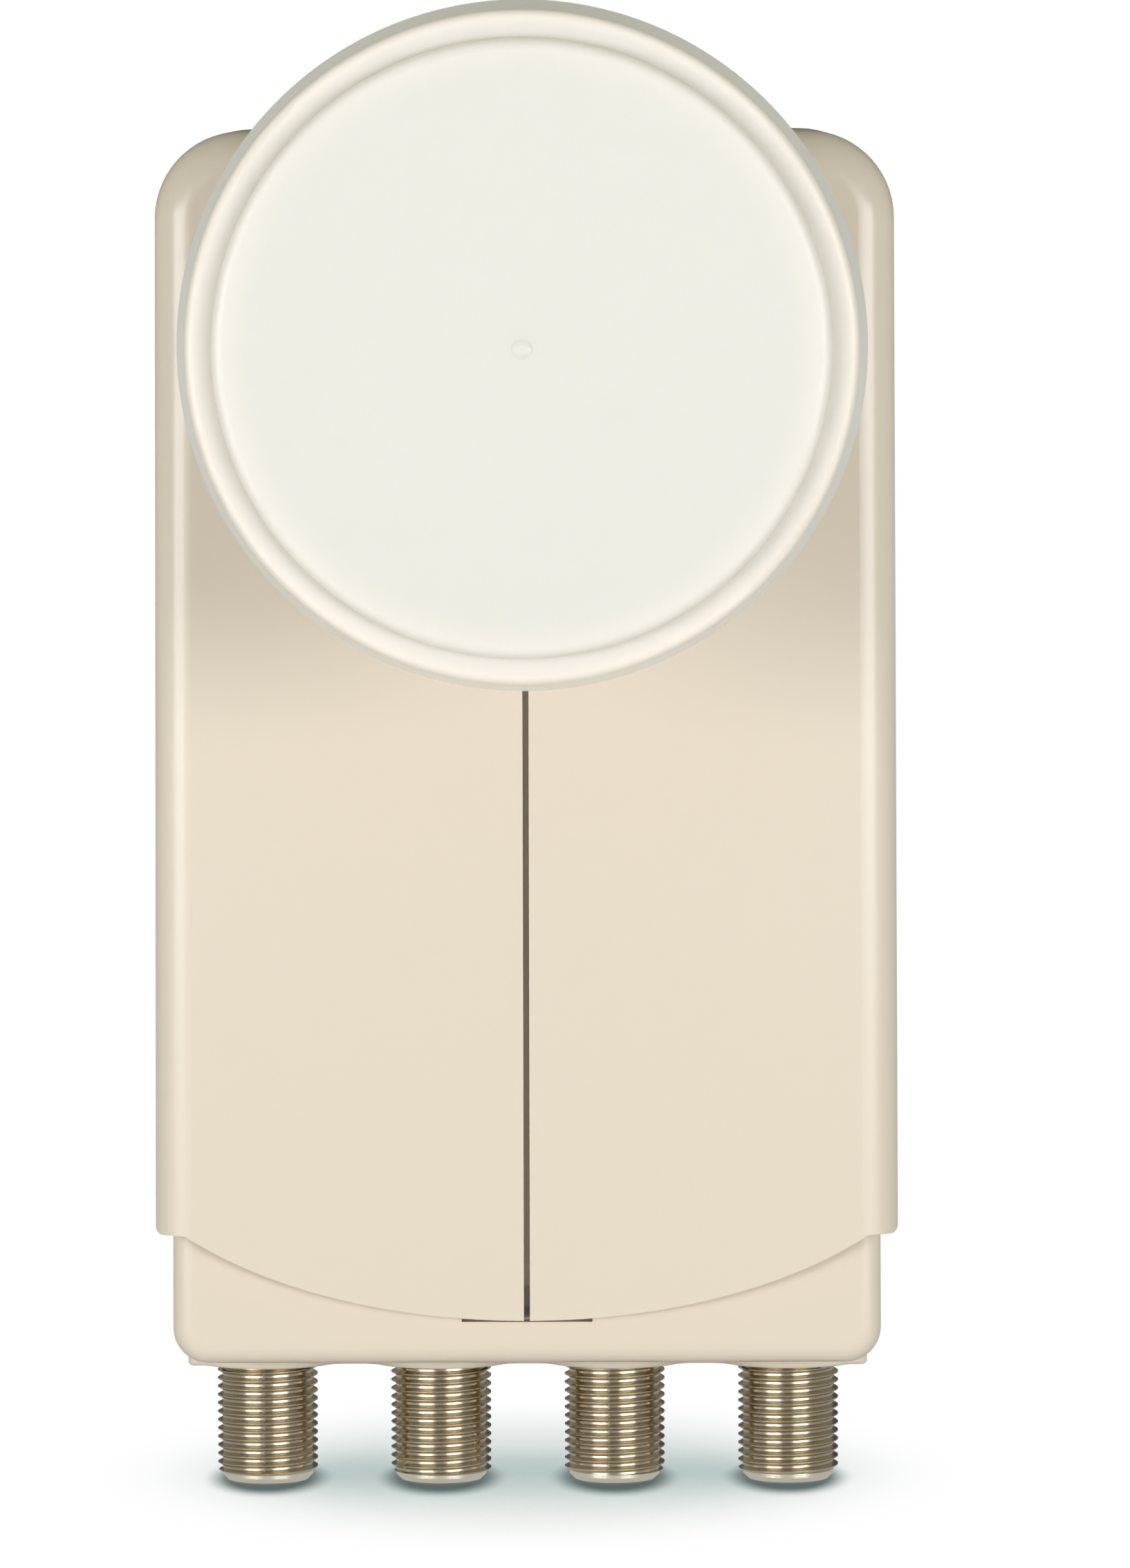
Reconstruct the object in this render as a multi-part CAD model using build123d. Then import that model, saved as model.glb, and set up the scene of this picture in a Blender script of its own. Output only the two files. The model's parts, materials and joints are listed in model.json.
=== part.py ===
"""Satellite LNB with four outputs: feed horn, die-cast chassis, housing and a two-piece weather hood.

Millimetres, +Z up. The feed axis runs along Y and the feed cap faces -Y. The origin lies on the
feed axis, in the middle of the neck that the dish arm's holder clamps. The sockets point down.
"""
from build123d import *
from math import acos, degrees, radians, sqrt, tan
import os

# Neck and feed axis
neck_radius = 20.0
neck_length = 26.0
neck_wall = 2.6
neck_hub_wall = 2.2
neck_rib_count = 6
neck_rib_width = 1.8
guide_bore_radius = 9.5
guide_wall = 2.5

# Weather hood
hood_top = 18.2
hood_crown = 0.4
hood_half_top = 33.9
hood_side_draft = 0.25
hood_corner_radius = 8.0
hood_depth = 36.0
hood_wall = 1.4
hood_front_fillet = 3.4
hood_edge_side_z = -83.3
hood_edge_drop = 7.9
hood_arch_margin = 2.85
hood_arch_spread = 1.26
hood_edge_corner = 0.7
hood_slit = 0.56
hood_neck_gap = 1.0
hood_notch_clearance = 0.5
hood_gap = 0.2

# Snap lip at the foot of each hood half, and its slot
latch_width = 12.1
latch_slot_rise = 1.1
latch_slot_height = 1.4
latch_slot_depth = 1.8
latch_ramp_height = 2.0
latch_ramp_depth = 0.4
latch_lip_clearance = 0.25

# Inner housing
housing_drop = 4.3
housing_corner_radius = 3.3
housing_front_wall = 2.6
housing_wall = 2.0
housing_inner_corner = 0.3
housing_edge_fillet = 1.9
chassis_pad_height = 2.2
chassis_pad_radius = 3.0
chassis_pad_top = -24.0
chassis_pad_rise = 1.5
boss_radius = 3.2
boss_wall_overlap = 0.6
boss_depth = 16.0
boss_hole_depth = 13.0
housing_screw_setback = 12.7
housing_screw_rise = 7.5

# Scalloped socket plate under the housing
plate_height = 1.4
plate_lobe_radius = 7.2
plate_waist = 3.4
plate_end_margin = 7.3
plate_end_depth = 4.4
plate_end_corner = 0.8
plate_blend_share = 0.9
plate_edge_fillet = 0.4

# F sockets
port_count = 4
port_side_margin = 9.45
port_setback = 14.2
port_thread_radius = 4.7
port_thread_length = 10.1
port_thread_gap = 0.3
port_shank_radius = 4.45
port_nose_radius = 4.27
port_nose_length = 0.8
port_nose_chamfer = 0.25
port_bore_radius = 3.6
port_flange_radius = 5.9
port_flange_height = 2.0
port_spigot_radius = 4.5
port_spigot_stub = 0.5
port_clearance = 0.15
port_seal_width = 0.75
port_seal_height = 1.4
port_insulator_recess = 0.6
port_contact_radius = 1.1
port_contact_mouth_radius = 0.5
port_contact_mouth_depth = 9.0
port_tail_radius = 0.5
port_tail_length = 6.0
fit_clearance = 0.05

# Rear cover, its gasket and screws
rear_cover_thickness = 2.8
rear_gasket_thickness = 0.8
rear_gasket_setback = 0.3
screw_head_radius = 2.7
screw_head_height = 1.4
screw_head_sink = 0.4
screw_shank_radius = 1.25
screw_length = 12.0
screw_hole_clearance = 0.3
rear_pad_radius = 3.0
rear_pad_height = 2.0

# Die-cast chassis
chassis_boss_clearance = 0.5
chassis_foot_clearance = 0.1
chassis_foot_height = 14.0
chassis_top_clearance = 0.5
chassis_corner_radius = 1.6
chassis_wall = 3.4
chassis_floor = 2.2
board_ledge = 1.6
board_level_back = 0.55
board_thickness = 0.8
board_clearance = 0.2
cover_plate = 2.0
cover_lip_height = 2.0
cover_lip_width = 1.4
cover_cup_wall = 2.2
cover_cup_depth = 6.4
cover_screw_setback = 5.6
cover_screw_rise = 7.5
cover_screw_radius = 1.0
cover_screw_head_radius = 2.0
cover_screw_head_height = 1.2
cover_screw_length = 8.0

# Circuit parts on the board
puck_radius = 3.0
puck_height = 2.4
puck_side_margin = 11.0
puck_level = -34.0
tuning_screw_radius = 2.0
tuning_screw_length = 8.0
tuning_screw_proud = 0.6
chip_size = 7.0
chip_height = 1.0
chip_rise = 17.5
regulator_width = 6.6
regulator_length = 9.0
regulator_height = 2.3
regulator_side_margin = 8.0
regulator_rise = 9.5

# Feed horn
horn_hub_length = 8.0
horn_hub_radius = 19.0
horn_rim_length = 8.6
horn_rim_wall = 1.8
horn_flare_length = 11.5
horn_slot_count = 3
horn_vane_thickness = 1.1
horn_slot_depth = 6.2
horn_throat_step = 2.6
horn_groove_depth = 0.7
horn_groove_width = 1.6
horn_groove_setback = 2.8

# Feed cap
cap_lip_radius = 30.1
cap_lip_wall = 2.4
cap_skirt_flare = 1.0
cap_skirt_length = 9.0
cap_ring_width = 2.3
cap_ring_drop = 2.1
cap_ring_rounding = 0.8
cap_disc_rounding = 1.0
cap_wall = 1.6
cap_rim_wall = 1.5
cap_fit = 0.2
cap_bead_height = 0.6
cap_gate_radius = 0.8
cap_gate_height = 0.15
cap_seal_thickness = 1.2
cap_seal_clearance = 0.2

# Levels along the feed axis
neck_front = -neck_length / 2
neck_back = neck_length / 2
hood_front = neck_back + hood_neck_gap
hood_back = hood_front + hood_depth
shell_offset = hood_wall + hood_gap
housing_front = hood_front + shell_offset
cover_back = hood_back - shell_offset
cover_front = cover_back - rear_cover_thickness
housing_rim = cover_front - rear_gasket_thickness
housing_floor = housing_front + housing_front_wall
chassis_front = housing_floor + chassis_pad_height
chassis_lid_back = cover_front - rear_pad_height
chassis_back = chassis_lid_back - cover_plate
port_axis_y = housing_front + port_setback
board_back = port_axis_y - board_level_back
board_front = board_back - board_thickness
guide_radius = guide_bore_radius + guide_wall
guide_front = neck_front - horn_hub_length
horn_front = neck_front - horn_flare_length - horn_rim_length
cap_seat = horn_front - cap_seal_thickness
cap_front = cap_seat - cap_rim_wall - cap_ring_drop

# Levels and places down the housing and along the sockets
hood_foot = hood_edge_side_z - hood_edge_drop
latch_slot_top = hood_foot + latch_slot_rise
housing_bottom = hood_foot - housing_drop
plate_bottom = housing_bottom - plate_height
housing_sill = housing_bottom + housing_wall
chassis_bottom = housing_sill + port_flange_height
chassis_shoulder = chassis_bottom + chassis_foot_height
chassis_top = hood_top - shell_offset - housing_wall - chassis_top_clearance
port_thread_top = plate_bottom - port_thread_gap
port_thread_end = port_thread_top - port_thread_length
port_end = port_thread_end - port_nose_length
port_inner_end = chassis_bottom + chassis_wall + port_spigot_stub
port_pitch = 2 * (hood_half_top - port_side_margin) / (port_count - 1)
port_x = [(i - (port_count - 1) / 2) * port_pitch for i in range(port_count)]
housing_screw_levels = (hood_top - housing_screw_setback, chassis_shoulder + housing_screw_rise)
chassis_pad_levels = (chassis_pad_top, chassis_shoulder + chassis_pad_rise)
cover_screw_top = chassis_top - cover_screw_setback
cover_screw_low = chassis_shoulder + cover_screw_rise
cover_screw_levels = (cover_screw_top, (cover_screw_top + cover_screw_low) / 2, cover_screw_low)

# Half widths that follow the hood's
cavity_half_width = hood_half_top - shell_offset - housing_wall
chassis_half_width = cavity_half_width + boss_wall_overlap - 2 * boss_radius - chassis_boss_clearance
chassis_foot_half_width = cavity_half_width - chassis_foot_clearance
puck_half_spacing = chassis_half_width - puck_side_margin
regulator_half_spacing = chassis_half_width - regulator_side_margin

# Radii that follow the cap's
horn_rim_radius = cap_lip_radius - cap_lip_wall - cap_fit
cap_ring_radius = cap_lip_radius - cap_skirt_flare
cap_disc_radius = cap_ring_radius - cap_ring_width


def facing(y):
    """A drawing plane across the feed axis: X to the right, Z up, normal to the front."""
    return Plane(origin=(0, y, 0), x_dir=(1, 0, 0), z_dir=(0, -1, 0))


def slab(face, front, back):
    """A face drawn in X and Z, made a solid between two levels along Y."""
    return extrude(facing(back) * face, amount=back - front)


def turned(points, arcs=()):
    """A solid of revolution about the feed axis from (radius, y) corners, some of them rounded."""
    profile = make_face(Polyline(*[(r, y) for r, y in points], close=True))
    for corner, radius in arcs:
        vertex = profile.vertices().sort_by_distance((corner[0], corner[1], 0))[0]
        profile = fillet(vertex, radius)
    return revolve(profile, Axis.Y)


def rod(radius, front, back, x=0.0, z=0.0):
    """A round bar along Y."""
    return slab(Pos(x, z) * Circle(radius), front, back)


def post(radius, low, high, x, y):
    """A round bar along Z."""
    return extrude(Pos(x, y, low) * Circle(radius), amount=high - low)


def body_face(inset, side_low, drop=0.0, low_corner=0.0):
    """Front outline of hood and housing: crowned top, drafted sides, straight or arched foot."""
    slope = tan(radians(hood_side_draft))
    top = hood_top - inset
    half_top = hood_half_top - inset
    half_low = half_top + (top - side_low) * slope
    edges = [
        ThreePointArc((-half_top, top), (0, top + hood_crown), (half_top, top)),
        Line((half_top, top), (half_low, side_low)),
        Line((-half_low, side_low), (-half_top, top)),
    ]
    if drop:
        arch_half = half_low - hood_arch_margin
        arch_rise = drop / (1 - sqrt(1 - 1 / hood_arch_spread**2))
        arch_start = degrees(acos(1 / hood_arch_spread))
        edges += [
            Line((half_low, side_low), (arch_half, side_low)),
            EllipticalCenterArc(
                (0, side_low - drop + arch_rise), arch_half * hood_arch_spread, arch_rise,
                start_angle=180 + arch_start, arc_size=180 - 2 * arch_start,
            ),
            Line((-arch_half, side_low), (-half_low, side_low)),
        ]
    else:
        edges.append(Line((half_low, side_low), (-half_low, side_low)))
    face = make_face(edges)
    face = fillet(face.vertices().group_by(Axis.Y)[-1], hood_corner_radius - inset)
    if low_corner:
        corners = face.vertices().group_by(Axis.Y)[0].sort_by(Axis.X)
        face = fillet([corners[0], corners[-1]], low_corner)
    return face


def side_and_top_edges(solid, axis_index):
    """The edges round one end face along Y, without the foot."""
    face = solid.faces().sort_by(Axis.Y)[axis_index]
    return face.edges().sort_by(Axis.Z)[1:]


def make_hood():
    """The whole hood before it is parted: drafted shell, arched foot, neck notch and snap lips."""
    outline = body_face(0, hood_edge_side_z, hood_edge_drop, hood_edge_corner)
    outer = slab(body_face(0, plate_bottom), hood_front, hood_back)
    outer = fillet(side_and_top_edges(outer, 0), hood_front_fillet)
    outer = fillet(side_and_top_edges(outer, -1), hood_front_fillet)
    outer &= slab(outline, hood_front, hood_back)
    inner = slab(body_face(hood_wall, plate_bottom), hood_front + hood_wall, hood_back - hood_wall)
    inner = fillet(side_and_top_edges(inner, 0), hood_front_fillet - hood_wall)
    inner = fillet(side_and_top_edges(inner, -1), hood_front_fillet - hood_wall)
    notch = rod(guide_radius + neck_hub_wall + hood_notch_clearance, neck_front, housing_front)
    shell = outer - inner - notch
    lip_half = latch_width / 2 - latch_lip_clearance
    lip_top = latch_slot_top - latch_lip_clearance
    lip_low = latch_slot_top - latch_slot_height + latch_lip_clearance
    lip_reach = hood_gap + latch_slot_depth - latch_lip_clearance
    lip = Pos(0, (lip_top + lip_low) / 2) * Rectangle(2 * lip_half, lip_top - lip_low)
    lip &= outline
    inner_front = hood_front + hood_wall
    inner_back = hood_back - hood_wall
    shell += slab(lip, inner_front, inner_front + lip_reach)
    shell += slab(lip, inner_back - lip_reach, inner_back)
    return shell


def hood_half(hood, side):
    """One half of the hood, parted from the other by the slit on the middle plane."""
    reach = 2 * hood_half_top
    keep = Pos(side * (reach + hood_slit) / 2, (hood_front + hood_back) / 2, 0)
    return hood & keep * Box(reach, 2 * hood_depth, 4 * reach)


def housing_face(inset=0.0):
    """The housing's outline, and its inner outlines at a set inset."""
    corner = max(housing_corner_radius - inset, housing_inner_corner)
    return body_face(shell_offset + inset, housing_bottom + inset, low_corner=corner)


def housing_cavity_face():
    """The outline of the housing's inside, with tight corners beside the end sockets' flanges."""
    return body_face(shell_offset + housing_wall, housing_sill, low_corner=housing_inner_corner)


def housing_screw_points():
    """Where the rear cover's screws enter the housing's side bosses."""
    points = []
    for z in housing_screw_levels:
        inset = shell_offset + housing_wall
        half = hood_half_top - inset + (hood_top - inset - z) * tan(radians(hood_side_draft))
        for side in (-1, 1):
            points.append((side * (half + boss_wall_overlap - boss_radius), z))
    return points


def pad_points():
    """Four places near the chassis corners, where pads carry it front and back."""
    x = chassis_half_width - 2 * chassis_wall - chassis_pad_radius
    return [(side * x, z) for side in (-1, 1) for z in chassis_pad_levels]


def socket_plate_face():
    """Plan of the plate that carries the sockets: a bar with a lobe at each socket and square ends."""
    plate_lobe_chord = 2 * sqrt(plate_lobe_radius**2 - plate_waist**2)
    bar = Pos(0, port_axis_y) * Rectangle(2 * port_x[-1], 2 * plate_waist)
    for x in port_x:
        bar += Pos(x, port_axis_y) * Circle(plate_lobe_radius)
    for side in (-1, 1):
        end_x = side * (port_x[-1] + plate_end_margin / 2)
        bar += Pos(end_x, port_axis_y) * Rectangle(plate_end_margin, 2 * plate_end_depth)
    waist = [v for v in bar.vertices() if abs(v.X) < port_x[-1] - plate_waist]
    bar = fillet(waist, plate_blend_share * (port_pitch / 2 - plate_lobe_chord / 2))
    return fillet([v for v in bar.vertices() if abs(v.X) > port_x[-1] + plate_waist], plate_end_corner)


def make_housing():
    """One-piece moulding: box open at the back, pads, screw bosses, snap slot and socket plate."""
    shell = slab(housing_face(), housing_front, housing_rim)
    shell = fillet(shell.faces().sort_by(Axis.Y)[0].edges(), housing_edge_fillet)
    plate = extrude(Pos(0, 0, plate_bottom) * socket_plate_face(), amount=housing_sill - plate_bottom)
    shell += fillet(plate.faces().sort_by(Axis.Z)[0].edges(), plate_edge_fillet)
    shell -= slab(housing_cavity_face(), housing_floor, housing_rim)
    for x, z in pad_points():
        shell += rod(chassis_pad_radius, housing_floor, chassis_front, x, z)
    for x, z in housing_screw_points():
        shell += rod(boss_radius, housing_rim - boss_depth, housing_rim, x, z)
        shell -= rod(screw_shank_radius, housing_rim - boss_hole_depth, housing_rim, x, z)
    ramp = Pos(0, latch_slot_top + latch_ramp_height / 2) * Rectangle(latch_width, latch_ramp_height)
    shell -= slab(ramp, housing_front, housing_front + latch_ramp_depth)
    for x in port_x:
        hole = port_thread_radius + port_clearance
        shell -= post(hole, plate_bottom, housing_sill, x, port_axis_y)
        seat = housing_sill - port_seal_height
        shell -= post(hole + port_seal_width, seat, housing_sill, x, port_axis_y)
    shell -= rod(guide_radius + fit_clearance, housing_front, housing_floor)
    return shell - latch_slot(housing_front, housing_front + latch_slot_depth)


def latch_slot(front, back):
    """The slot that a hood's snap lips drop into."""
    slot = Pos(0, latch_slot_top - latch_slot_height / 2) * Rectangle(latch_width, latch_slot_height)
    return slab(slot, front, back)


def make_rear_cover():
    """Flat cover over the housing's open back, with counterbored screw holes and pads on the chassis."""
    cover = slab(housing_face(), cover_front, cover_back)
    cover = fillet(cover.faces().sort_by(Axis.Y)[-1].edges(), housing_edge_fillet)
    for x, z in pad_points():
        cover += rod(rear_pad_radius, chassis_lid_back, cover_front, x, z)
    for x, z in housing_screw_points():
        cover -= rod(screw_shank_radius + screw_hole_clearance, cover_front, cover_back, x, z)
        seat = cover_back - screw_head_sink - screw_head_height
        cover -= rod(screw_head_radius + screw_hole_clearance, seat, cover_back, x, z)
    return cover - latch_slot(cover_back - latch_slot_depth, cover_back)


def make_rear_gasket():
    """Flat rubber frame between the housing's rim and the rear cover, with eyes round the screws."""
    frame = slab(housing_face(rear_gasket_setback), housing_rim, cover_front)
    frame -= slab(housing_cavity_face(), housing_rim, cover_front)
    for x, z in housing_screw_points():
        frame += rod(boss_radius - rear_gasket_setback, housing_rim, cover_front, x, z)
        frame -= rod(screw_shank_radius + screw_hole_clearance, housing_rim, cover_front, x, z)
    return frame


def make_housing_screw(x, z):
    """Cheese-head screw, sunk in the rear cover."""
    seat = cover_back - screw_head_sink - screw_head_height
    head = rod(screw_head_radius, seat, seat + screw_head_height, x, z)
    return head + rod(screw_shank_radius - fit_clearance, seat - screw_length, seat, x, z)


def make_neck_sleeve():
    """Moulded sleeve that brings the guide tube up to the clamp size, cored and ribbed in front."""
    bore = guide_radius + fit_clearance
    hub = guide_radius + neck_hub_wall
    sleeve = turned([
        (bore, neck_front),
        (hub, neck_front),
        (hub, neck_back - neck_wall),
        (neck_radius - neck_wall, neck_back - neck_wall),
        (neck_radius - neck_wall, neck_front),
        (neck_radius, neck_front),
        (neck_radius, neck_back),
        (hub, neck_back),
        (hub, housing_front),
        (bore, housing_front),
    ])
    rib_length = neck_radius - neck_wall / 2 - guide_radius - neck_hub_wall / 2
    rib_middle = guide_radius + neck_hub_wall / 2 + rib_length / 2
    for i in range(neck_rib_count):
        rib = Pos(rib_middle, 0) * Rectangle(rib_length, neck_rib_width)
        turn = Rot(0, 0, i * 360 / neck_rib_count)
        sleeve += slab(turn * rib, neck_front, neck_back - neck_wall)
    return sleeve


def make_neck_seal():
    """Square ring squeezed between the housing's front wall and the chassis, round the guide tube."""
    inner = guide_radius + fit_clearance
    ring = rod(inner + chassis_pad_height, housing_floor, chassis_front)
    return ring - rod(inner, housing_floor, chassis_front)


def chassis_face():
    """Outline of the casting: a box that widens at its foot for the sockets."""
    right = [
        (chassis_half_width, chassis_top),
        (chassis_half_width, chassis_shoulder),
        (chassis_foot_half_width, chassis_shoulder),
        (chassis_foot_half_width, chassis_bottom),
    ]
    left = [(-x, z) for x, z in reversed(right)]
    face = make_face(Polyline(*right, *left, close=True))
    return fillet(face.vertices(), chassis_corner_radius)


def inner_chassis_face(inset):
    """The casting's outline drawn in by an inset."""
    return offset(chassis_face(), amount=-inset)


def cover_screw_points():
    """Screws along the middle of the casting's two long walls."""
    x = chassis_half_width - chassis_wall / 2
    return [(side * x, z) for side in (-1, 1) for z in cover_screw_levels]


def make_chassis():
    """Die-cast box with its round wave guide: open at the back, with a ledge that carries the board."""
    box = slab(chassis_face(), chassis_front, chassis_back)
    box -= slab(inner_chassis_face(chassis_wall), board_front, chassis_back)
    box -= slab(inner_chassis_face(chassis_wall + board_ledge), chassis_front + chassis_floor, board_front)
    box += rod(guide_radius, guide_front, board_front)
    box -= rod(guide_bore_radius, guide_front, board_front)
    for x in port_x:
        low = chassis_bottom
        box -= post(port_spigot_radius + port_clearance, low, low + chassis_wall + board_ledge, x, port_axis_y)
    for x, z in cover_screw_points():
        box -= rod(cover_screw_radius + fit_clearance, chassis_back - cover_screw_length, chassis_back, x, z)
    return box


def make_chassis_cover():
    """Cast lid with a lip that fits the box and the cup that closes the wave guide behind the board."""
    lid = slab(chassis_face(), chassis_back, chassis_lid_back)
    outer = inner_chassis_face(chassis_wall + board_clearance)
    inner = inner_chassis_face(chassis_wall + board_clearance + cover_lip_width)
    lip_front = chassis_back - cover_lip_height
    lid += slab(outer, lip_front, chassis_back) - slab(inner, lip_front, chassis_back)
    cup = rod(guide_bore_radius + cover_cup_wall, board_back, chassis_back)
    lid += cup & slab(outer, board_back, chassis_back)
    lid -= rod(guide_bore_radius, board_back, board_back + cover_cup_depth)
    for x, z in cover_screw_points():
        lid -= rod(cover_screw_radius + screw_hole_clearance, chassis_back, chassis_lid_back, x, z)
    for x in (-puck_half_spacing, puck_half_spacing):
        lid -= rod(tuning_screw_radius + fit_clearance, chassis_back, chassis_lid_back, x, puck_level)
    return lid


def make_cover_screw(x, z):
    """Small pan-head screw that holds the lid."""
    head = rod(cover_screw_head_radius, chassis_lid_back, chassis_lid_back + cover_screw_head_height, x, z)
    return head + rod(cover_screw_radius, chassis_lid_back - cover_screw_length, chassis_lid_back, x, z)


def make_board():
    """Circuit board that lies on the casting's ledge and across the end of the wave guide."""
    outline = inner_chassis_face(chassis_wall + board_clearance)
    foot = port_inner_end + board_clearance
    reach = 2 * chassis_foot_half_width
    outline -= Pos(0, foot - reach / 2) * Rectangle(reach, reach)
    return slab(outline, board_front, board_back)


def make_tuning_screw(x):
    """Screw over an oscillator puck, set from outside the lid."""
    back = chassis_lid_back + tuning_screw_proud
    return rod(tuning_screw_radius, back - tuning_screw_length, back, x, puck_level)


def chip(width, length, height, x, z):
    """A packaged part lying on the board."""
    return slab(Pos(x, z) * Rectangle(width, length), board_back, board_back + height)


def make_horn():
    """Die-cast scalar horn: hub on the guide tube, flare, rim with a snap groove, ringed slots."""
    bore = guide_radius + fit_clearance
    rim_back = horn_front + horn_rim_length
    groove = horn_front + horn_groove_setback
    groove_radius = horn_rim_radius - horn_groove_depth
    outer = [
        (bore, neck_front),
        (horn_hub_radius, neck_front),
        (horn_rim_radius, rim_back),
        (horn_rim_radius, groove + horn_groove_width),
        (groove_radius, groove + horn_groove_width),
        (groove_radius, groove),
        (horn_rim_radius, groove),
        (horn_rim_radius, horn_front),
        (horn_rim_radius - horn_rim_wall, horn_front),
    ]
    pitch = (horn_rim_radius - horn_rim_wall - guide_bore_radius) / horn_slot_count
    slots = []
    radius = horn_rim_radius - horn_rim_wall
    for i in range(horn_slot_count):
        slot_front = horn_front + (i + 1) * horn_throat_step
        slot_floor = slot_front + horn_slot_depth - horn_throat_step
        inner = radius - pitch + horn_vane_thickness
        slots += [(radius, slot_floor), (inner, slot_floor), (inner, slot_front)]
        slots.append((inner - horn_vane_thickness, slot_front))
        radius -= pitch
    throat = [(guide_bore_radius, guide_front), (bore, guide_front)]
    return turned(outer + slots + throat)


def make_cap():
    """Moulded feed cap: raised hollow disc, set-back ring, flared skirt with a snap bead."""
    fit_radius = horn_rim_radius + cap_fit
    lip_back = cap_front + cap_skirt_length
    ring_front = cap_front + cap_ring_drop
    pocket_radius = cap_disc_radius - cap_wall
    pocket_front = cap_front + cap_wall
    bead = horn_front + horn_groove_setback + horn_groove_width / 2
    profile = [
        (0, cap_front),
        (cap_disc_radius, cap_front),
        (cap_disc_radius, ring_front),
        (cap_ring_radius, ring_front),
        (cap_lip_radius, lip_back),
        (fit_radius, lip_back),
        (fit_radius, bead + cap_bead_height),
        (fit_radius - cap_bead_height, bead),
        (fit_radius, bead - cap_bead_height),
        (fit_radius, cap_seat),
        (pocket_radius, cap_seat),
        (pocket_radius, pocket_front),
        (0, pocket_front),
    ]
    rounded = [
        ((cap_disc_radius, cap_front), cap_disc_rounding),
        ((cap_ring_radius, ring_front), cap_ring_rounding),
    ]
    cap = turned(profile, rounded)
    return cap + rod(cap_gate_radius, cap_front - cap_gate_height, cap_front)


def make_cap_seal():
    """Flat ring that the cap presses on the horn's rim."""
    outer = rod(horn_rim_radius - cap_seal_clearance, cap_seat, horn_front)
    return outer - rod(horn_rim_radius - horn_rim_wall, cap_seat, horn_front)


def make_connector(x):
    """F socket: thread, plain nose, shank through the plate, flange, spigot and bore."""
    body = post(port_nose_radius, port_end, port_thread_end, x, port_axis_y)
    body = chamfer(body.faces().sort_by(Axis.Z)[0].edges(), port_nose_chamfer)
    body += post(port_thread_radius, port_thread_end, port_thread_top, x, port_axis_y)
    body += post(port_shank_radius, port_thread_top, housing_sill, x, port_axis_y)
    body += post(port_flange_radius, housing_sill, chassis_bottom, x, port_axis_y)
    body += post(port_spigot_radius, chassis_bottom, port_inner_end, x, port_axis_y)
    return body - post(port_bore_radius, port_end, port_inner_end, x, port_axis_y)


def make_insulator(x):
    """Plastic plug that centres the contact in the socket's bore."""
    low = port_end + port_insulator_recess
    plug = post(port_bore_radius - fit_clearance, low, port_inner_end, x, port_axis_y)
    return plug - post(port_contact_radius, low, port_inner_end, x, port_axis_y)


def make_contact(x):
    """Spring contact: a tube that takes the cable's core, and a tail soldered to the board."""
    low = port_end + port_insulator_recess + fit_clearance
    tube = post(port_contact_radius - fit_clearance, low, port_inner_end, x, port_axis_y)
    tube += post(port_tail_radius, port_inner_end, port_inner_end + port_tail_length, x, port_axis_y)
    return tube - post(port_contact_mouth_radius, low, low + port_contact_mouth_depth, x, port_axis_y)


def make_port_seal(x):
    """Square ring round a socket's shank, in the counterbore under the flange."""
    seat = housing_sill - port_seal_height
    inner = port_shank_radius + fit_clearance
    outer = port_thread_radius + port_clearance + port_seal_width - fit_clearance
    ring = post(outer, seat, housing_sill, x, port_axis_y)
    return ring - post(inner, seat, housing_sill, x, port_axis_y)


hood = make_hood()
puck_points = (-puck_half_spacing, puck_half_spacing)
regulator_points = (-regulator_half_spacing, regulator_half_spacing)
pucks = [rod(puck_radius, board_back, board_back + puck_height, x, puck_level) for x in puck_points]
regulators = [
    chip(regulator_width, regulator_length, regulator_height, x, chassis_shoulder + regulator_rise)
    for x in regulator_points
]
nodes = {
    "hood_left": hood_half(hood, -1),
    "hood_right": hood_half(hood, 1),
    "housing": make_housing(),
    "rear_cover": make_rear_cover(),
    "rear_gasket": make_rear_gasket(),
    "housing_screws": Compound([make_housing_screw(x, z) for x, z in housing_screw_points()]),
    "neck_sleeve": make_neck_sleeve(),
    "neck_seal": make_neck_seal(),
    "feed_horn": make_horn(),
    "feed_cap": make_cap(),
    "cap_seal": make_cap_seal(),
    "chassis": make_chassis(),
    "chassis_cover": make_chassis_cover(),
    "cover_screws": Compound([make_cover_screw(x, z) for x, z in cover_screw_points()]),
    "rf_board": make_board(),
    "oscillator_pucks": Compound(pucks),
    "tuning_screws": Compound([make_tuning_screw(x) for x in puck_points]),
    "switch_chip": chip(chip_size, chip_size, chip_height, 0, chassis_shoulder + chip_rise),
    "regulators": Compound(regulators),
    "port_seals": Compound([make_port_seal(x) for x in port_x]),
}
for number, x in enumerate(port_x, 1):
    nodes[f"f_connector_{number}"] = make_connector(x)
    nodes[f"f_insulator_{number}"] = make_insulator(x)
    nodes[f"f_contact_{number}"] = make_contact(x)

os.makedirs("parts", exist_ok=True)
for name, shape in nodes.items():
    export_step(shape, f"parts/{name}.step")
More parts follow.
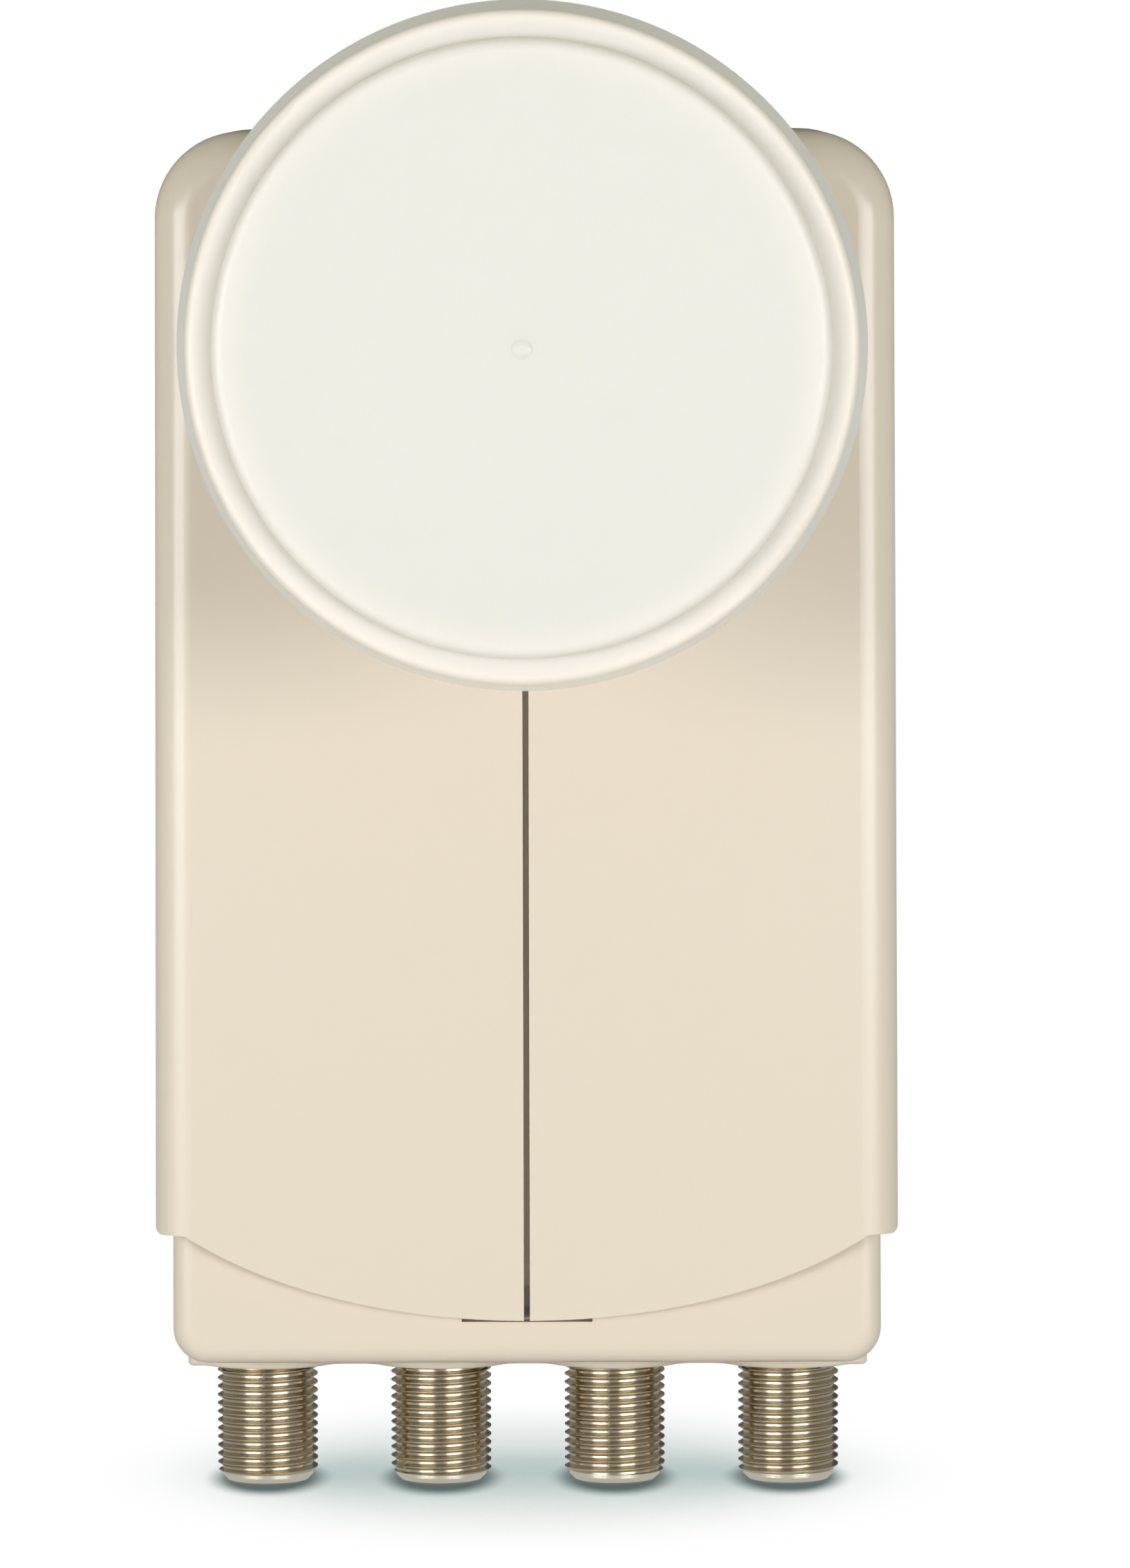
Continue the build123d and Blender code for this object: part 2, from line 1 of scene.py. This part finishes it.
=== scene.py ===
import bpy
import json
from math import cos, radians, sin
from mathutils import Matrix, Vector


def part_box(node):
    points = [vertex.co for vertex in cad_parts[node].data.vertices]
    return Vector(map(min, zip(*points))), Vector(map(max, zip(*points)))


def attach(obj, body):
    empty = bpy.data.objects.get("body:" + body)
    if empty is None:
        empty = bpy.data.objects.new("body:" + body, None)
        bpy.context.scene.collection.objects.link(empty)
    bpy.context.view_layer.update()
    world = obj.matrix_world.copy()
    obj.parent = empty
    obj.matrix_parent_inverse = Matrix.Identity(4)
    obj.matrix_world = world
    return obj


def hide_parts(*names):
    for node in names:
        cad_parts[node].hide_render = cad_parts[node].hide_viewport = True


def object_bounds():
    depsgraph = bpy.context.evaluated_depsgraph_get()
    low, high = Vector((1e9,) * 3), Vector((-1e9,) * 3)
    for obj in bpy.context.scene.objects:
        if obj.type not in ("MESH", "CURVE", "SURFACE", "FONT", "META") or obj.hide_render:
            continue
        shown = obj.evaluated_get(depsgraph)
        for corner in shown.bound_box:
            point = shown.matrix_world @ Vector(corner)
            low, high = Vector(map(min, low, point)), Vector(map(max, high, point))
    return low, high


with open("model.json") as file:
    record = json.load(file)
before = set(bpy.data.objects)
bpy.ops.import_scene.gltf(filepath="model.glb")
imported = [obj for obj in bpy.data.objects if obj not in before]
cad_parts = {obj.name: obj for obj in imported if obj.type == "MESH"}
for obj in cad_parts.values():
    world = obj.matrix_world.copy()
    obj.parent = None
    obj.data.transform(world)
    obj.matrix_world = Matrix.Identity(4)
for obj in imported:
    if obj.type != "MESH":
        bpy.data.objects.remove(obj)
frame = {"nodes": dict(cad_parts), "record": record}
cad_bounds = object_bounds()

# Chassis, its lid and the scalar horn: bare aluminium die castings. The lid is screwed over the
# circuit board, and the horn sits on the guide tube. The mould leaves a dull grey metal with a
# fine sandy skin.
mm = 0.001
nodes = frame["nodes"]
grain_detail = 3.0


def linear(code):
    """Linear colour of an sRGB hex code."""
    parts = [int(code[i:i + 2], 16) / 255 for i in (1, 3, 5)]
    return [c / 12.92 if c <= 0.04045 else ((c + 0.055) / 1.055) ** 2.4 for c in parts] + [1.0]


def add_node(tree, kind, settings, links=None):
    """Adds a node: settings name its inputs or properties, links join its inputs to outputs."""
    node = tree.nodes.new(kind)
    for name, value in settings.items():
        if isinstance(name, int) or name in node.inputs:
            node.inputs[name].default_value = value
        else:
            setattr(node, name, value)
    for name, output in (links or {}).items():
        tree.links.new(output, node.inputs[name])
    return node


def surface(name, colour, roughness, grain, depth, metallic=0.0):
    """A material of one colour with a moulded or cast grain, whose size and depth are in metres."""
    material = bpy.data.materials.new(name)
    material.use_nodes = True
    tree = material.node_tree
    shader = tree.nodes["Principled BSDF"]
    shader.inputs["Base Color"].default_value = linear(colour)
    shader.inputs["Roughness"].default_value = roughness
    shader.inputs["Metallic"].default_value = metallic
    place = add_node(tree, "ShaderNodeTexCoord", {})
    noise = add_node(tree, "ShaderNodeTexNoise", {"Scale": 1 / grain, "Detail": grain_detail},
                     {"Vector": place.outputs["Object"]})
    bump = add_node(tree, "ShaderNodeBump", {"Strength": 1.0, "Distance": depth},
                    {"Height": noise.outputs["Fac"]})
    tree.links.new(bump.outputs["Normal"], shader.inputs["Normal"])
    return material


def cover(material, *names):
    """Gives CAD nodes a material."""
    for name in names:
        nodes[name].material_slots[0].material = material


cast_metal = surface("cast aluminium", colour="#A8A9A8", roughness=0.48, metallic=1.0,
                     grain=0.5 * mm, depth=0.02 * mm)
cover(cast_metal, "chassis", "chassis_cover", "feed_horn")

# Circuit board and the largest parts on it: glass laminate under a half-glossy green lacquer, dull
# pale-brown pucks of fired ceramic, and chips in dull, near-black moulded epoxy. The tuning screws,
# turned from bright yellow brass, sit in the lid above the pucks.
laminate = surface("board laminate", colour="#1F5A36", roughness=0.35,
                   grain=0.6 * mm, depth=0.01 * mm)
cover(laminate, "rf_board")
ceramic = surface("puck ceramic", colour="#B39A78", roughness=0.6,
                  grain=0.3 * mm, depth=0.02 * mm)
cover(ceramic, "oscillator_pucks")
chip_case = surface("chip black", colour="#26282B", roughness=0.5,
                    grain=0.1 * mm, depth=0.005 * mm)
cover(chip_case, "switch_chip", "regulators")
brass = surface("brass", colour="#C6A257", roughness=0.3, metallic=1.0,
                grain=0.2 * mm, depth=0.004 * mm)
cover(brass, "tuning_screws")

# Screws of the lid and of the rear cover: steel with a zinc plating, which is a bright, bluish
# grey and slightly uneven.
plated_steel = surface("screw steel", colour="#B9BCBF", roughness=0.32, metallic=1.0,
                       grain=0.4 * mm, depth=0.004 * mm)
cover(plated_steel, "cover_screws", "housing_screws")

# Rubber seals: rings round the guide tube, under the cap and round each socket, and a frame under
# the rear cover. They are moulded, near black and almost without gloss.
rubber = surface("rubber", colour="#2B2B2C", roughness=0.7, grain=0.25 * mm, depth=0.01 * mm)
cover(rubber, "neck_seal", "cap_seal", "rear_gasket", "port_seals")

# F sockets: turned brass with a nickel plating, each held by its flange between the socket plate
# and the chassis. The thread for the plug's nut is 3/8-32, with a plain nose in front of it. A
# white plug of smooth, satin polyethylene inside centres the brass contact.
ports = [m for m in frame["record"]["mounts"] if m["name"].startswith("f_port_")]
socket_numbers = range(1, len(ports) + 1)
insulator = surface("insulator plastic", colour="#ECEBE6", roughness=0.4,
                    grain=0.3 * mm, depth=0.004 * mm)
for i in socket_numbers:
    cover(insulator, f"f_insulator_{i}")
    cover(brass, f"f_contact_{i}")

port_place = ports[0]["pos_m"]
crest_radius = ports[0]["dims"]["r_mm"] * mm
thread_length = ports[0]["dims"]["length_mm"] * mm
mm_per_inch = 25.4
threads_per_inch = 32
thread_pitch = mm_per_inch / threads_per_inch * mm
thread_depth = 0.46 * mm
thread_lead_in = 0.22 * mm
nose_chamfer = 0.45 * mm
bore_radius = 3.6 * mm
shank_radius = 4.45 * mm
flange_radius = 5.9 * mm
flange_height = 2.0 * mm
spigot_radius = 4.5 * mm
spigot_length = 3.9 * mm
# The nose lies a little below the thread's root, so that the groove's cutter doesn't touch it
nose_relief = 0.01 * mm
round_steps = 96
weld_distance = 0.001 * mm

thread_end = port_place[2] - thread_length / 2
thread_top = port_place[2] + thread_length / 2
root_radius = crest_radius - thread_depth
nose_radius = root_radius - nose_relief
socket_low, socket_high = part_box("f_connector_1")
shoulder = socket_high[2] - spigot_length - flange_height
socket_outline = [
    (bore_radius, socket_low[2]),
    (nose_radius - nose_chamfer, socket_low[2]),
    (nose_radius, socket_low[2] + nose_chamfer),
    (nose_radius, thread_end),
    (crest_radius - thread_lead_in, thread_end),
    (crest_radius, thread_end + thread_lead_in),
    (crest_radius, thread_top),
    (shank_radius, thread_top),
    (shank_radius, shoulder),
    (flange_radius, shoulder),
    (flange_radius, shoulder + flange_height),
    (spigot_radius, shoulder + flange_height),
    (spigot_radius, socket_high[2]),
    (bore_radius, socket_high[2]),
]


def swept(name, outline, pitch, turns):
    """Draws a closed outline in the XZ plane point by point and sweeps it round the Z axis."""
    bpy.ops.object.select_all(action="DESELECT")
    bpy.ops.mesh.primitive_plane_add(size=crest_radius)
    piece = bpy.context.object
    piece.name = name
    bpy.ops.object.mode_set(mode="EDIT")
    bpy.ops.mesh.merge(type="CENTER")
    bpy.ops.transform.translate(value=(outline[0][0], 0, outline[0][1]))
    for (r0, z0), (r1, z1) in zip(outline, outline[1:] + outline[:1]):
        bpy.ops.mesh.extrude_region_move(TRANSFORM_OT_translate={"value": (r1 - r0, 0, z1 - z0)})
    bpy.ops.mesh.select_all(action="SELECT")
    bpy.ops.mesh.remove_doubles(threshold=weld_distance)
    bpy.ops.object.mode_set(mode="OBJECT")
    screw = piece.modifiers.new("turn", "SCREW")
    screw.steps = screw.render_steps = round_steps
    screw.screw_offset = pitch
    screw.iterations = turns
    screw.use_merge_vertices = True
    screw.merge_threshold = weld_distance
    bpy.ops.object.modifier_apply(modifier=screw.name)
    bpy.ops.object.mode_set(mode="EDIT")
    bpy.ops.mesh.select_all(action="SELECT")
    bpy.ops.mesh.remove_doubles(threshold=weld_distance)
    bpy.ops.mesh.fill_holes(sides=0)
    bpy.ops.mesh.select_all(action="SELECT")
    bpy.ops.mesh.normals_make_consistent(inside=False)
    bpy.ops.object.mode_set(mode="OBJECT")
    return piece


def cut(piece, tool, operation):
    """Applies a Boolean with a tool, which is then removed."""
    boolean = piece.modifiers.new("cut", "BOOLEAN")
    boolean.object = tool
    boolean.operation = operation
    bpy.context.view_layer.objects.active = piece
    bpy.ops.object.modifier_apply(modifier=boolean.name)
    bpy.data.objects.remove(tool)


# The groove's floor leans a little and its mouth reaches past the crest, for a clean cut
groove_top = 0.70 * mm
groove_floor = 0.19 * mm
groove_tilt = 0.01 * mm
groove_overrun = 0.04 * mm
hidden_turns = 2
groove_flare = (groove_top - groove_floor) / 2 / thread_depth
groove_half = groove_top / 2 + groove_flare * groove_overrun
groove_start = thread_end - thread_pitch
groove_turns = int(thread_length / thread_pitch) + hidden_turns
groove_outline = [
    (root_radius + groove_tilt, groove_start - groove_floor / 2),
    (crest_radius + groove_overrun, groove_start - groove_half),
    (crest_radius + groove_overrun, groove_start + groove_half),
    (root_radius, groove_start + groove_floor / 2),
]
blank = swept("socket_blank", socket_outline, 0.0, 1)
cut(blank, swept("thread_groove", groove_outline, thread_pitch, groove_turns), "DIFFERENCE")

# Nickel plating, put on in a bath: bright and slightly warm. It mirrors its surroundings with a
# little blur. The thread has the plain nickel colour; the nose is painted paler, a painted
# reflection of a bright space below it.
thread_colour = "#CCC2AB"
nose_reflection_colour = "#FFF8E2"
nickel = surface("nickel plate", colour=thread_colour, roughness=0.22, metallic=1.0,
                 grain=0.35 * mm, depth=0.006 * mm)
tree = nickel.node_tree
place = add_node(tree, "ShaderNodeTexCoord", {})
axes = add_node(tree, "ShaderNodeSeparateXYZ", {}, {"Vector": place.outputs["Object"]})
on_nose = add_node(tree, "ShaderNodeMath", {"operation": "LESS_THAN", 1: thread_end},
                   {0: axes.outputs["Z"]})
# Paler colour on the nose: a painted reflection of a bright space below it
plating_and_nose_reflection = add_node(tree, "ShaderNodeValToRGB", {}, {"Fac": on_nose.outputs[0]})
plating_and_nose_reflection.color_ramp.elements[0].color = linear(thread_colour)
plating_and_nose_reflection.color_ramp.elements[1].color = linear(nose_reflection_colour)
tree.links.new(plating_and_nose_reflection.outputs["Color"], tree.nodes["Principled BSDF"].inputs["Base Color"])

# Each socket is the same turned piece, set at another angle. Two threads have a filled line along
# them and a third has a slot.
socket_turns = {1: 0, 2: 95, 3: 215, 4: 310}
line_angles = {1: -93, 3: -97}
line_width = 0.14 * mm
line_depth = 0.28 * mm
line_root = 0.3 * mm
line_reach = thread_depth - line_depth + line_root
line_middle = crest_radius - line_depth - line_reach / 2
slot_angles = {2: -143}
slot_width = 0.8 * mm
slot_reach = thread_depth + groove_overrun
slot_middle = root_radius + slot_reach / 2
thread_marks = ((line_angles, line_middle, line_reach, line_width, "UNION"),
                (slot_angles, slot_middle, slot_reach, slot_width, "DIFFERENCE"))
thread_mark_length = thread_length - thread_lead_in
smooth_below = radians(25)
for i in socket_numbers:
    low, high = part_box(f"f_connector_{i}")
    bpy.ops.object.select_all(action="DESELECT")
    blank.select_set(True)
    bpy.context.view_layer.objects.active = blank
    bpy.ops.object.duplicate()
    socket = bpy.context.object
    socket.name = f"f_socket_{i}"
    socket.rotation_euler[2] = radians(socket_turns[i])
    bpy.ops.object.transform_apply(rotation=True)
    for angles, middle, reach, width, operation in thread_marks:
        if i in angles:
            angle = radians(angles[i])
            bpy.ops.mesh.primitive_cube_add(
                size=1, rotation=(0, 0, angle), scale=(reach, width, thread_mark_length),
                location=(middle * cos(angle), middle * sin(angle), port_place[2]))
            cut(socket, bpy.context.object, operation)
    socket.location = ((low[0] + high[0]) / 2, (low[1] + high[1]) / 2, 0)
    bpy.ops.object.select_all(action="DESELECT")
    socket.select_set(True)
    bpy.context.view_layer.objects.active = socket
    bpy.ops.object.transform_apply(location=True)
    bpy.ops.object.shade_smooth_by_angle(angle=smooth_below)
    socket.data.materials.clear()
    socket.data.materials.append(nickel)
    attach(socket, "root")
    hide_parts(f"f_connector_{i}")
bpy.data.objects.remove(blank)

# Housing, rear cover and neck sleeve: weatherproof ASA plastic, injection moulded, beige with a
# soft gloss. The cover is screwed on at the back, and the sleeve takes the dish arm's 40 mm clamp.
# The plastics' real grain is too fine to show, so it is drawn coarser.
beige = "#E4DAC9"
satin = 0.26
housing_plastic = surface("housing plastic", colour=beige, roughness=satin,
                          grain=0.35 * mm, depth=0.004 * mm)
cover(housing_plastic, "housing", "rear_cover", "neck_sleeve")

# Hood halves: the same beige plastic from a spark-eroded mould, whose deeper grain breaks up the
# highlights. They snap round the housing from both sides and meet at a slit in front.
hood_plastic = surface("hood plastic", colour=beige, roughness=satin,
                       grain=0.3 * mm, depth=0.006 * mm)
cover(hood_plastic, "hood_left", "hood_right")

# Feed cap: off-white polypropylene that passes the signal, moulded and snapped over the horn's rim.
# It is dull and lets light in a few millimetres, so the disc looks soft. It is drawn warmer from
# the disc's edge outward, and its skirt is painted paler: a painted light on the side that faces
# away from the lamps. Its mould was filled through the middle, which leaves a small round mark.
disc_colour = "#ECE9E1"
skirt_colour = "#F0EAE1"
skirt_painted_light = "#FFFCF4"
# Colour by distance from the axis: the disc, a warmer band over the ring, and painted light on the
# skirt
cap_colours_and_skirt_light = ((0.78, disc_colour), (0.85, skirt_colour), (0.965, skirt_colour),
               (0.978, skirt_painted_light))
cap_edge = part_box("feed_cap")[1][0]
rim_width = 2.2 * mm
disc_bleed = 3.2 * mm
rim_bleed = 0.3 * mm
translucency = 0.8
bleed_by_colour = (1.0, 0.95, 0.85)
bloom = 0.4
bloom_spread = 0.5
bloom_colour = "#FFF6E6"
mark_core = 0.3 * mm
mark_radius = 0.95 * mm
mark_depth = 0.16 * mm
cap_plastic = surface("cap plastic", colour=disc_colour, roughness=0.45,
                      grain=0.5 * mm, depth=0.003 * mm)
tree = cap_plastic.node_tree
shader = tree.nodes["Principled BSDF"]
cap_settings = {"Subsurface Weight": translucency, "Subsurface Radius": bleed_by_colour,
                "Sheen Weight": bloom, "Sheen Roughness": bloom_spread,
                "Sheen Tint": linear(bloom_colour)}
for name, value in cap_settings.items():
    shader.inputs[name].default_value = value
place = add_node(tree, "ShaderNodeTexCoord", {})
flat = add_node(tree, "ShaderNodeVectorMath", {"operation": "MULTIPLY", 1: (1, 0, 1)},
                {0: place.outputs["Object"]})
radius = add_node(tree, "ShaderNodeVectorMath", {"operation": "LENGTH"},
                  {0: flat.outputs["Vector"]})
outward = add_node(tree, "ShaderNodeMath", {"operation": "DIVIDE", 1: cap_edge},
                   {0: radius.outputs["Value"]})
cap_tone_and_skirt_light = add_node(tree, "ShaderNodeValToRGB", {}, {"Fac": outward.outputs[0]})
stops = cap_tone_and_skirt_light.color_ramp.elements
for share, colour in cap_colours_and_skirt_light[1:-1]:
    stops.new(share)
for stop, (share, colour) in zip(stops, cap_colours_and_skirt_light):
    stop.position = share
    stop.color = linear(colour)
tree.links.new(cap_tone_and_skirt_light.outputs["Color"], shader.inputs["Base Color"])
bleed = add_node(tree, "ShaderNodeMapRange",
                 {"From Min": cap_edge - rim_width, "From Max": cap_edge - rim_width / 2,
                  "To Min": disc_bleed, "To Max": rim_bleed}, {"Value": radius.outputs["Value"]})
tree.links.new(bleed.outputs["Result"], shader.inputs["Subsurface Scale"])
mark = add_node(tree, "ShaderNodeMapRange",
                {"interpolation_type": "SMOOTHSTEP",
                 "From Min": mark_core, "From Max": mark_radius},
                {"Value": radius.outputs["Value"]})
grain_normal = shader.inputs["Normal"].links[0].from_socket
dent = add_node(tree, "ShaderNodeBump", {"Distance": mark_depth},
                {"Height": mark.outputs["Result"], "Normal": grain_normal})
tree.links.new(dent.outputs["Normal"], shader.inputs["Normal"])
cover(cap_plastic, "feed_cap")

# Table: a large sheet of white paper that the sockets' ends rest on. The camera sees it glow white,
# with painted shadows: a cool painted haze under the object and a painted dark spot round each
# socket's end, which fade into plain white.
white = "#FFFFFF"
paper_colour = "#F4F5F5"
shade_colour = "#8A8C8C"
haze_shadow_colour = "#98B0AE"
contact_shadow_colour = "#2C585F"
table_size = 60.0
table_glow = 0.9
table_in_mirrors = 0.45
haze_shadow_reach = 44 * mm
haze_shadow_samples = 8
shadow_setback = 4 * mm
shadow_narrowing = 1.4
shadow_near = 24 * mm
shadow_far = 60 * mm
contact_width = 5.6 * mm
contact_length = 11.5 * mm
contact_core = 0.62
contact_edge = 1.16
bpy.ops.object.select_all(action="DESELECT")
bpy.ops.mesh.primitive_plane_add(size=table_size, location=(0, 0, cad_bounds[0][2]))
table = bpy.context.object
table.name = "table"
paper = bpy.data.materials.new("table white")
paper.use_nodes = True
tree = paper.node_tree
tree.nodes.clear()
place = add_node(tree, "ShaderNodeTexCoord", {})
axes = add_node(tree, "ShaderNodeSeparateXYZ", {}, {"Vector": place.outputs["Object"]})

# Painted shadow round each socket's end: an ellipse about the nearest port, counted in port pitches
port_pitch = ports[1]["pos_m"][0] - port_place[0]
first_step = -len(ports) // 2
last_step = len(ports) // 2 - 1
pitches = add_node(tree, "ShaderNodeMath", {"operation": "DIVIDE", 1: port_pitch},
                   {0: axes.outputs["X"]})
counted = add_node(tree, "ShaderNodeMath", {"operation": "FLOOR"}, {0: pitches.outputs[0]})
nearest = add_node(tree, "ShaderNodeClamp", {"Min": first_step, "Max": last_step},
                   {"Value": counted.outputs[0]})
port_x = add_node(tree, "ShaderNodeMath",
                  {"operation": "MULTIPLY_ADD", 1: port_pitch, 2: port_pitch / 2},
                  {0: nearest.outputs[0]})
aside = add_node(tree, "ShaderNodeMath", {"operation": "SUBTRACT"},
                 {0: axes.outputs["X"], 1: port_x.outputs[0]})
ahead = add_node(tree, "ShaderNodeMath", {"operation": "SUBTRACT", 1: port_place[1]},
                 {0: axes.outputs["Y"]})
wide = add_node(tree, "ShaderNodeMath", {"operation": "DIVIDE", 1: contact_width},
                {0: aside.outputs[0]})
deep = add_node(tree, "ShaderNodeMath", {"operation": "DIVIDE", 1: contact_length},
                {0: ahead.outputs[0]})
spot = add_node(tree, "ShaderNodeCombineXYZ", {}, {"X": wide.outputs[0], "Y": deep.outputs[0]})
span = add_node(tree, "ShaderNodeVectorMath", {"operation": "LENGTH"},
                {0: spot.outputs["Vector"]})
clear = add_node(tree, "ShaderNodeMapRange",
                 {"interpolation_type": "SMOOTHSTEP",
                  "From Min": contact_core, "From Max": contact_edge},
                 {"Value": span.outputs["Value"]})
contact_shadow = add_node(tree, "ShaderNodeValToRGB", {}, {"Fac": clear.outputs["Result"]})
contact_shadow.color_ramp.elements[0].color = linear(contact_shadow_colour)
contact_shadow.color_ramp.elements[1].color = linear(white)

# Painted shadow haze where the object hangs over the paper, which fades out all round it
overhang = add_node(tree, "ShaderNodeAmbientOcclusion",
                    {"Distance": haze_shadow_reach, "samples": haze_shadow_samples})
haze_shadow = add_node(tree, "ShaderNodeValToRGB", {}, {"Fac": overhang.outputs["AO"]})
haze_shadow.color_ramp.elements[0].color = linear(haze_shadow_colour)
haze_shadow.color_ramp.elements[1].color = linear(white)
# The two painted shadows darken the glow that the camera sees
painted_shadows = add_node(tree, "ShaderNodeVectorMath", {"operation": "MULTIPLY"},
                {0: haze_shadow.outputs["Color"], 1: contact_shadow.outputs["Color"]})
painted_shadow_glow = add_node(tree, "ShaderNodeEmission", {"Strength": table_glow},
                {"Color": painted_shadows.outputs["Vector"]})
shade = add_node(tree, "ShaderNodeBsdfDiffuse", {"Color": linear(shade_colour)})
shaded = add_node(tree, "ShaderNodeAddShader", {}, {0: shade.outputs[0], 1: painted_shadow_glow.outputs[0]})
narrowed = add_node(tree, "ShaderNodeVectorMath",
                    {"operation": "MULTIPLY", 1: (shadow_narrowing, 1, 1)},
                    {0: place.outputs["Object"]})
away = add_node(tree, "ShaderNodeVectorMath",
                {"operation": "DISTANCE", 1: (0, port_place[1] + shadow_setback, 0)},
                {0: narrowed.outputs["Vector"]})
fade = add_node(tree, "ShaderNodeMapRange",
                {"interpolation_type": "SMOOTHSTEP",
                 "From Min": shadow_near, "From Max": shadow_far},
                {"Value": away.outputs["Value"]})
plain_share = add_node(tree, "ShaderNodeMath", {"operation": "MULTIPLY"},
                       {0: fade.outputs["Result"], 1: clear.outputs["Result"]})
plain = add_node(tree, "ShaderNodeEmission", {"Strength": 1.0})
seen = add_node(tree, "ShaderNodeMixShader", {},
                {0: plain_share.outputs[0], 1: shaded.outputs[0], 2: plain.outputs[0]})

# Mirrored in the pieces, the table is dimmer, and it scatters light on them as matt paper does
rays = add_node(tree, "ShaderNodeLightPath", {})
matt = add_node(tree, "ShaderNodeBsdfDiffuse", {"Color": linear(paper_colour)})
mirrored = add_node(tree, "ShaderNodeEmission", {"Strength": table_in_mirrors})
unseen = add_node(tree, "ShaderNodeMixShader", {},
                  {0: rays.outputs["Is Glossy Ray"], 1: matt.outputs[0], 2: mirrored.outputs[0]})
pick = add_node(tree, "ShaderNodeMixShader", {},
                {0: rays.outputs["Is Camera Ray"], 1: unseen.outputs[0], 2: seen.outputs[0]})
add_node(tree, "ShaderNodeOutputMaterial", {}, {"Surface": pick.outputs[0]})
table.data.materials.append(paper)

# Studio lamps: two soft boxes beside the camera, nearly level with the object's middle, and a
# weaker one higher up behind the object, which lights its back and which nothing mirrors.
lamp_colour = "#FEFBFF"
box_distance = 0.9
box_width = 0.58
box_height = 0.25
left_side = -39
right_side = 34
behind = 180
front_power = 4.16
front_height = 0.03
front_tilt = 88
back_power = 1.8
back_height = 0.24
back_tilt = 75
soft_boxes = (("soft box left", left_side, front_height, front_tilt, front_power, True),
              ("soft box right", right_side, front_height, front_tilt, front_power, True),
              ("soft box back", behind, back_height, back_tilt, back_power, False))
object_middle = [(low + high) / 2 for low, high in zip(*cad_bounds)]
for name, side, height, tilt, power, mirrors in soft_boxes:
    light = bpy.data.lights.new(name, "AREA")
    light.shape = "RECTANGLE"
    light.size = box_width
    light.size_y = box_height
    light.energy = power
    light.color = linear(lamp_colour)[:3]
    lamp = bpy.data.objects.new(name, light)
    bpy.context.scene.collection.objects.link(lamp)
    turn = radians(side)
    lamp.location = (object_middle[0] + box_distance * sin(turn),
                     object_middle[1] - box_distance * cos(turn), object_middle[2] + height)
    lamp.rotation_euler = (radians(tilt), 0, turn)
    lamp.visible_glossy = mirrors

# Studio room: a weak even fill, and in mirrored light a room that is darker on the right. The
# backdrop is white to the camera only.
fill_colour = "#F2F6DF"
fill_strength = 0.34
room_colour = "#F4F6F4"
room_left = 0.2
room_right = 0.04
world = bpy.data.worlds.new("studio")
bpy.context.scene.world = world
world.use_nodes = True
tree = world.node_tree
tree.nodes.clear()
rays = add_node(tree, "ShaderNodeLightPath", {})
place = add_node(tree, "ShaderNodeTexCoord", {})
axes = add_node(tree, "ShaderNodeSeparateXYZ", {}, {"Vector": place.outputs["Generated"]})
dimming = add_node(tree, "ShaderNodeMapRange",
                   {"From Min": -1.0, "From Max": 1.0, "To Min": room_left, "To Max": room_right},
                   {"Value": axes.outputs["X"]})
room = add_node(tree, "ShaderNodeBackground", {"Color": linear(room_colour)},
                {"Strength": dimming.outputs["Result"]})
fill = add_node(tree, "ShaderNodeBackground",
                {"Color": linear(fill_colour), "Strength": fill_strength})
backdrop = add_node(tree, "ShaderNodeBackground", {"Color": linear(white), "Strength": 1.0})
unseen = add_node(tree, "ShaderNodeMixShader", {},
                  {0: rays.outputs["Is Glossy Ray"], 1: fill.outputs[0], 2: room.outputs[0]})
pick = add_node(tree, "ShaderNodeMixShader", {},
                {0: rays.outputs["Is Camera Ray"], 1: unseen.outputs[0], 2: backdrop.outputs[0]})
add_node(tree, "ShaderNodeOutputWorld", {}, {"Surface": pick.outputs[0]})

# Camera: a long lens in front of the feed, a little above its axis, as in the photograph. Film and
# lens are in millimetres, places in metres and turns in degrees.
film_height = 36.0
lens_length = 217.73
camera_place = (0.004, -0.855, 0.0246)
camera_turn = (85.65, 0.128, 0.0153)
nearest_seen = 0.05
farthest_seen = 100.0
camera_data = bpy.data.cameras.new("camera")
camera_data.sensor_fit = "VERTICAL"
camera_data.sensor_height = film_height
camera_data.lens = lens_length
camera_data.clip_start = nearest_seen
camera_data.clip_end = farthest_seen
camera = bpy.data.objects.new("camera", camera_data)
bpy.context.scene.collection.objects.link(camera)
camera.location = camera_place
camera.rotation_euler = [radians(angle) for angle in camera_turn]
bpy.context.scene.camera = camera
bpy.context.scene.view_settings.view_transform = "Standard"
